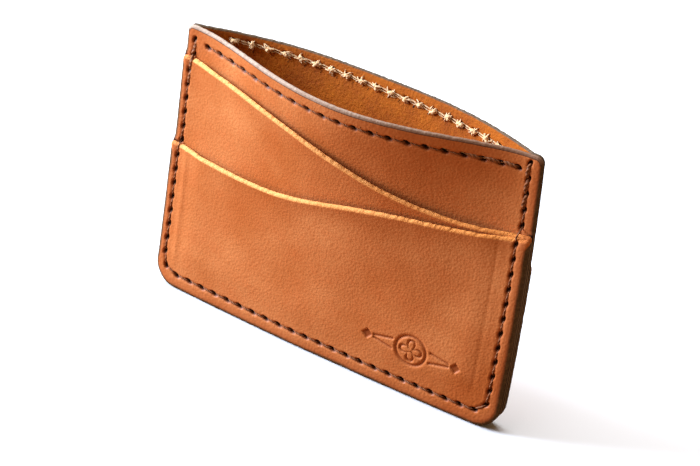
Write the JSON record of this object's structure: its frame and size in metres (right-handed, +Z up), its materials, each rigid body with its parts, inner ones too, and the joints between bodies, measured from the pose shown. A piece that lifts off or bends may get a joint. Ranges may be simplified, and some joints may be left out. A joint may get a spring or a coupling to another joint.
{
  "type": "card wallet",
  "caption": "Slim card wallet of stitched vegetable-tanned leather, its middle pocket bowed open, with overlapping curved card pockets on the front and a further pocket on the back.",
  "frame": {"origin": "centre of the wallet's footprint, on the plane that its bottom edge stands on", "axes": "+X along the width, to the right of someone who faces the front; -Y out of the front, the face with the stepped pockets; +Z up, from the bottom edge to the open mouth"},
  "size_m": [0.1024, 0.0248, 0.0737],
  "materials": {
    "body_leather": "satin vegetable-tanned leather, tan, burnished dark brown edges, raw amber flesh side inside",
    "pocket_leather": "satin vegetable-tanned leather, tan, with pale raw pocket edges",
    "needle_thread": "dark brown waxed thread",
    "bobbin_thread": "pale cream twisted thread"
  },
  "bodies": {
    "root": {"front_body_panel": "body_leather", "rear_body_panel": "body_leather", "front_upper_pocket": "pocket_leather", "front_lower_pocket": "pocket_leather", "rear_pocket": "pocket_leather", "perimeter_needle_thread": "needle_thread", "perimeter_bobbin_thread": "needle_thread", "front_rim_needle_thread": "needle_thread", "front_rim_bobbin_thread": "bobbin_thread", "rear_rim_needle_thread": "needle_thread", "rear_rim_bobbin_thread": "bobbin_thread"}
  },
  "joints": []
}
